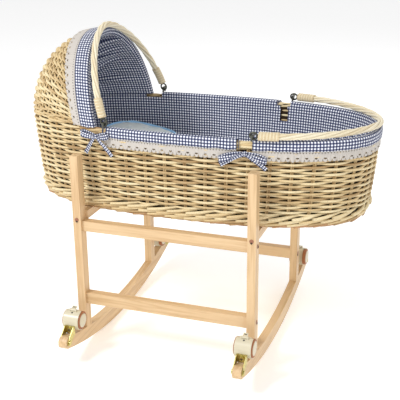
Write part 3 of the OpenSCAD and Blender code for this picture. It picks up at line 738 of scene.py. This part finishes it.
def bow(name, x, z, far, lean, shape):
    """A tied bow. shape holds each side, how far its loop reaches, and where its tail ends."""
    d = oval_w(x, *halves(z, 0.0)) + 6.0
    parts = []
    for side, reach, tail_x, tail_z in shape:
        q = np.linspace(0, 1, 24)
        a = q * 2 * math.pi
        droop = lean * np.sin(a / 2) + 2 - 6 * q
        loop = np.stack([side * reach * np.sin(a / 2) ** 0.8, 4.2 * np.sin(a), droop], 1)
        ribbon(parts, loop, [4, 9, 12, 12, 12, 9, 4], (0, 0, 1))
        tail = np.stack([tail_x * q, -2.4 - 1.5 * np.sin(q * 5), tail_z * q**1.15], 1)
        ribbon(parts, tail, [4, 7, 8.5, 9], (1.0, 0, side * 0.6))
    a = np.linspace(0, 2 * math.pi, 20)
    knot = np.stack([4.5 * np.sin(a), -0.2 + 4.4 * np.cos(a), 0 * a], 1)
    ribbon(parts, knot, [8, 9, 8], (0, 0, 1))
    co, quads, uvs, n = [], [], [], 0
    for g, u in parts:
        quads.append(cells(*g.shape[:2]) + n)
        co.append(g.reshape(-1, 3))
        uvs.append(u.reshape(-1, 2))
        n += len(co[-1])
    co = np.concatenate(co)
    if far:
        co = co * [1, -1, 1]
    slope = (oval_w(x + 20, *halves(z, 0)) - oval_w(x - 20, *halves(z, 0))) / 40
    y = co[:, 1] + (1 if far else -1) * slope * co[:, 0] + (d if far else -d)
    co = np.stack([co[:, 0] + x, y, co[:, 2] + z], 1)
    ob = build(name, co, np.concatenate(quads), "basket", RIBBON, uv=np.concatenate(uvs), solid=0.7)
    return ob


BOW_HEAD = ((-1, 38, -27, -39), (1, 31, 38, -39))
BOW_FOOT = ((-1, 52, -49, -26), (1, 44, 44, -31))
knots = [
    bow("bow_near_head", -155, 490, False, 5, BOW_HEAD),
    bow("bow_near_foot", 170, 483, False, -13, BOW_FOOT),
    bow("bow_far_head", -155, 490, True, 5, BOW_HEAD),
    bow("bow_far_foot", 170, 483, True, -13, BOW_FOOT),
]
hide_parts("bows")


# ---- Mattress and pillow ----
def pad(name, a, b, power, x0, z0, height, body, mat, crown, level=lambda x: 0 * x):
    """A stuffed pad: rounded sides, soft edges and a crowned top; level tilts its top along X."""
    n = 160
    t = np.linspace(0, 2 * math.pi, n, endpoint=False)
    rings = []
    # Share of the outline and share of the height of each ring, from the middle below to the middle on top
    steps = [(0.02, 0.0), (0.5, 0.0), (0.93, 0.0), (0.98, 0.08), (1.0, 0.3), (1.004, 0.55), (0.997, 0.8)]
    steps += [(0.985, 0.93), (0.965, 0.985)]
    steps += [(q, 1.0) for q in (0.94, 0.8, 0.6, 0.4, 0.2, 0.02)]
    for q, h in steps:
        x = x0 + a * q * spow(np.cos(t), 2 / power)
        y = b * q * spow(np.sin(t), 2 / power)
        top = crown * max(0, 1 - q**2) if h >= 1 else 0
        wrinkle = smooth_noise(n, 22, 0.8) * (h > 0) * (q > 0.3)
        rings.append(np.stack([x, y, z0 + (height + level(x)) * h + top + wrinkle * (h >= 0.9)], 1))
    P = np.stack(rings, 1)
    uv = P[..., :2] * 0.001
    ob = build(name, P.reshape(-1, 3), cells(n, len(steps), closed=True), body, mat, uv=uv.reshape(-1, 2))
    return ob, P


PILLOW_X = -149
mattress, _ = pad("mattress_pad", 351, 150, 2.5, CX, 334, 52, "bed_mattress", SHEETING, 5)
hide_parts("mattress")
pillow, rings = pad("pillow_pad", 92, 124, 2.9, PILLOW_X, 392.5, 45, "bed_pillow", PRINTED, 1,
                    lambda x: 9 * np.sin(np.clip((PILLOW_X - x) / 80, -1, 1) * 1.4))
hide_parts("pillow")
rods = Rods(8)
rods.add(rings[:, 8] + [0, 0, 0.6], 3.3, 0.5, (0, 0, 1), closed=True)
piping = rods.done("pillow_piping", "bed_pillow", PIPING)


# ---- Handles ----
def arch(u, length, sway):
    """Places on a handle's arch in its own plane; its middle sways to the near side."""
    y = HANDLE_B * spow(np.cos(math.pi * u), 2 / HANDLE_POW) - sway * np.sin(math.pi * u) ** 3
    return y, length * np.sin(math.pi * u) ** (2 / HANDLE_POW)


def coil(line, radius, angle):
    """A helix round a line in the plane x = 0, and the line's directions and normals."""
    t = np.gradient(line, axis=0)
    t /= np.linalg.norm(t, axis=1)[:, None]
    side = np.cross(t, [1.0, 0, 0])
    off = np.cos(angle)[:, None] * side + np.sin(angle)[:, None] * np.array([1.0, 0, 0])
    return line + radius * off, t, side


def handle(name, length, origin, lean, body, sway):
    """lean turns the handle about its pivots; 0 stands up and 90 lies towards the foot."""
    c, si = math.cos(math.radians(lean)), math.sin(math.radians(lean))
    strands, lay, n = 5, 175, 420

    def place(q):
        x, y, z = np.asarray(q, float).T
        return np.stack([origin[0] + x * c + z * si, y, origin[1] - x * si + z * c], 1)

    def aim(v):
        return place([v]) - place([[0, 0, 0]])

    u = np.linspace(0.0, 1.0, 2000)
    y, z = arch(u, length, sway)
    line = resample(np.stack([0 * y, y, z], 1)[z > 12], n)
    total = np.linalg.norm(np.diff(line, axis=0), axis=1).sum()
    rods = Rods(10)
    for k in range(strands):
        q, t, side = coil(line, 4.4, 2 * math.pi * (np.linspace(0, total / lay, n) + k / strands))
        rods.add(place(q), 2.6, 0.06 + 0.12 * k, place(line + side) - place(line))
    ob = rods.done(name + "_twist", body, PEELED)
    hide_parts(name)
    # The wrapped ends
    rods = Rods(6)
    for part in (line[:60], line[::-1][:60]):
        d = np.concatenate([[0], np.cumsum(np.linalg.norm(np.diff(part, axis=0), axis=1))])
        w = np.linspace(0, 40, 520)
        base = np.stack([np.interp(w, d, part[:, k]) for k in range(3)], 1)
        q, t, side = coil(base, 7.5, 2 * math.pi * w / 3.1)
        rods.add(place(q), 1.75, 0.55 + 0.15 * np.sin(w), place(base + t) - place(base))
        rods.add(place(np.linspace(base[0], base[-1], 6)), 7.4, 0.5, aim([1.0, 0, 0]))
    wrap = rods.done("wrap_" + name, body, PEELED)
    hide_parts(name.replace("handle", "bindings"))
    # Steel eyes that run on the staples
    rods = Rods(8)
    a = np.linspace(0, 2 * math.pi, 40, endpoint=False)
    for side in (-1, 1):
        q = np.stack([6.6 * np.cos(a), 0 * a + side * HANDLE_B, 2.2 + 7.8 * np.sin(a)], 1)
        rods.add(place(q), 1.9, 0.5, aim([0, 1.0, 0]), closed=True)
    ring = rods.done("ring_" + name, body, STEEL)


handle("handle_head", 187, (-135, HANDLE_Z), -19, "head_handle", 12)
handle("handle_foot", 224, (185, HANDLE_Z), 90, "foot_handle", 0)


# ---- Casters, bolts ----
def disc(name, centre, axis, radius, depth, body, mat, sides=48, dome=0.0):
    """A round button whose outer face looks along axis."""
    ax = np.array(axis, float)
    u = np.cross(ax, [0.3, 0.2, 1.0])
    u /= np.linalg.norm(u)
    w = np.cross(ax, u)
    profile = [(0.02, depth + dome), (0.45, depth + dome * 0.8), (0.86, depth)]
    profile += [(1.0, depth * 0.55), (1.0, -0.2)]
    a = np.arange(sides) * 2 * math.pi / sides
    P = np.stack([np.array(centre) + ax * h + radius * r * (np.cos(a)[:, None] * u + np.sin(a)[:, None] * w)
                  for r, h in profile], 1)
    faces = cells(sides, len(profile), closed=True)[:, [0, 3, 2, 1]]
    ob = build(name, P.reshape(-1, 3), faces, body, mat)
    return ob


def cross(rods, centre, axis, size, spin=0.4):
    """The two slots of a cross-recessed head, drawn as thin rods that carry painted shade for the recess.
    """
    ax = np.array(axis, float)
    u = np.cross(ax, [0.2, 0.1, 1.0])
    u /= np.linalg.norm(u)
    w = np.cross(ax, u)
    for k in range(2):
        d = math.cos(spin + k * math.pi / 2) * u + math.sin(spin + k * math.pi / 2) * w
        rods.add([centre - d * size, centre, centre + d * size], 0.7, 0.5, ax)


for c in SIDES:
    sy = -1 if c.startswith("near") else 1
    sx = -1 if c.endswith("head") else 1
    x = sx * POST_X
    for side, w in ((-1, "in"), (1, "out")):
        face = side * WHEEL_FACE * sx
        disc(f"hub_{w}_{c}", (x + face, sy * CASTER_Y, CASTER_Z), (math.copysign(1, face), 0, 0), 15.4, 0.9,
             f"wheel_{w}_body_{c}", CREAM, dome=0.5)
    # A black disc of painted shade, where a hole under the caster's hood shows dark
    out = np.array([0.0, sy * math.sin(0.42), math.cos(0.42)])
    spot = np.array([x, sy * CASTER_Y, CASTER_Z]) + out * 22.0
    disc(f"port_{c}", spot, out, 2.0, 0.15, f"caster_body_{c}", RECESS_SHADE, sides=20)
    # The nut's cross recess, as dark rods of painted shade
    r = Rods(6)
    cross(r, np.array([x, sy * 270.15, PIVOT_Z]), (0, sy, 0), 3.4)
    r.done(f"nut_cross_shade_{c}", f"fork_body_{c}", RECESS_SHADE)
    # The brake tab's notch, as a dark line of painted shade
    r = Rods(6)
    tip = np.array([x, sy * 240.5, 117.4])
    r.add([tip + [-3, 0, 0], tip, tip + [3, 0, 0]], 0.9, 0.5, (0, 0, 1))
    r.done(f"brake_notch_shade_{c}", f"brake_body_{c}", RECESS_SHADE)
# The cross recesses of the frame bolts, as dark rods of painted shade
r = Rods(6)
for sx in (-1, 1):
    for sy in (-1, 1):
        cross(r, np.array([sx * POST_X, sy * 204.8, 305.0]), (0, sy, 0), 2.6)
        for z in (117.0, 292.0):
            cross(r, np.array([sx * 204.8, sy * 187.0, z]), (sx, 0, 0), 2.6)
r.done("bolt_cross_shades", "stand", RECESS_SHADE)

# ---- Room, light and camera ----
me = bpy.data.meshes.new("floor")
me.from_pydata([(-30, -30, 0), (30, -30, 0), (30, 30, 0), (-30, 30, 0)], [], [(0, 1, 2, 3)])
floor = bpy.data.objects.new("floor", me)
bpy.context.scene.collection.objects.link(floor)
pale = Mat("floor", rough=0.9, color=(0.95, 0.95, 0.95), spec=0.1)
pale.b.inputs["Emission Color"].default_value = (1, 1, 1, 1)
pale.b.inputs["Emission Strength"].default_value = 0.3
me.materials.append(pale.m)

bpy.context.scene.view_settings.view_transform = "Standard"
world = bpy.data.worlds.new("studio")
bpy.context.scene.world = world
world.use_nodes = True
wt = world.node_tree
wt.nodes["Background"].inputs[0].default_value = (1.0, 1.0, 1.0, 1)
wt.nodes["Background"].inputs[1].default_value = 0.63
seen = wt.nodes.new("ShaderNodeBackground")  # what the camera sees past the floor
seen.inputs[0].default_value = (1.0, 1.0, 1.0, 1)
seen.inputs[1].default_value = 1.0
path = wt.nodes.new("ShaderNodeLightPath")
pick = wt.nodes.new("ShaderNodeMixShader")
wt.links.new(path.outputs["Is Camera Ray"], pick.inputs[0])
wt.links.new(wt.nodes["Background"].outputs[0], pick.inputs[1])
wt.links.new(seen.outputs[0], pick.inputs[2])
wt.links.new(pick.outputs[0], wt.nodes["World Output"].inputs[0])


def lamp(name, at, size, power, target=(0, 0, 0.35)):
    """A round area light that looks at target."""
    d = bpy.data.lights.new(name, "AREA")
    d.shape = "DISK"
    d.size = size
    d.energy = power
    o = bpy.data.objects.new(name, d)
    bpy.context.scene.collection.objects.link(o)
    o.location = at
    o.rotation_euler = (Vector(target) - Vector(at)).to_track_quat("-Z", "Y").to_euler()


lamp("key", (-1.5, -2.1, 2.7), 0.9, 64)
lamp("fill", (2.4, -1.8, 1.4), 2.0, 15)
lamp("back", (0.6, 2.2, 2.4), 1.8, 16)

# The camera, with the lens and place that fit the stand's corners in the photo
cam = bpy.data.cameras.new("camera")
camera = bpy.data.objects.new("camera", cam)
bpy.context.scene.collection.objects.link(camera)
bpy.context.scene.camera = camera
cam.sensor_width = 36
cam.lens = 78.65
az, el, roll = math.radians(19.32), math.radians(20.25), math.radians(-0.55)
back = Vector((math.sin(az) * math.cos(el), -math.cos(az) * math.cos(el), math.sin(el)))
right = Vector((math.cos(az), math.sin(az), 0))
up = right.cross(-back)
x_axis = right * math.cos(roll) + up * math.sin(roll)
y_axis = -right * math.sin(roll) + up * math.cos(roll)
camera.matrix_world = Matrix((x_axis, y_axis, back)).transposed().to_4x4()
camera.location = (0.6338 - SHIFT / 1000, -1.7663, 0.9967)
cam.clip_start, cam.clip_end = 0.05, 100
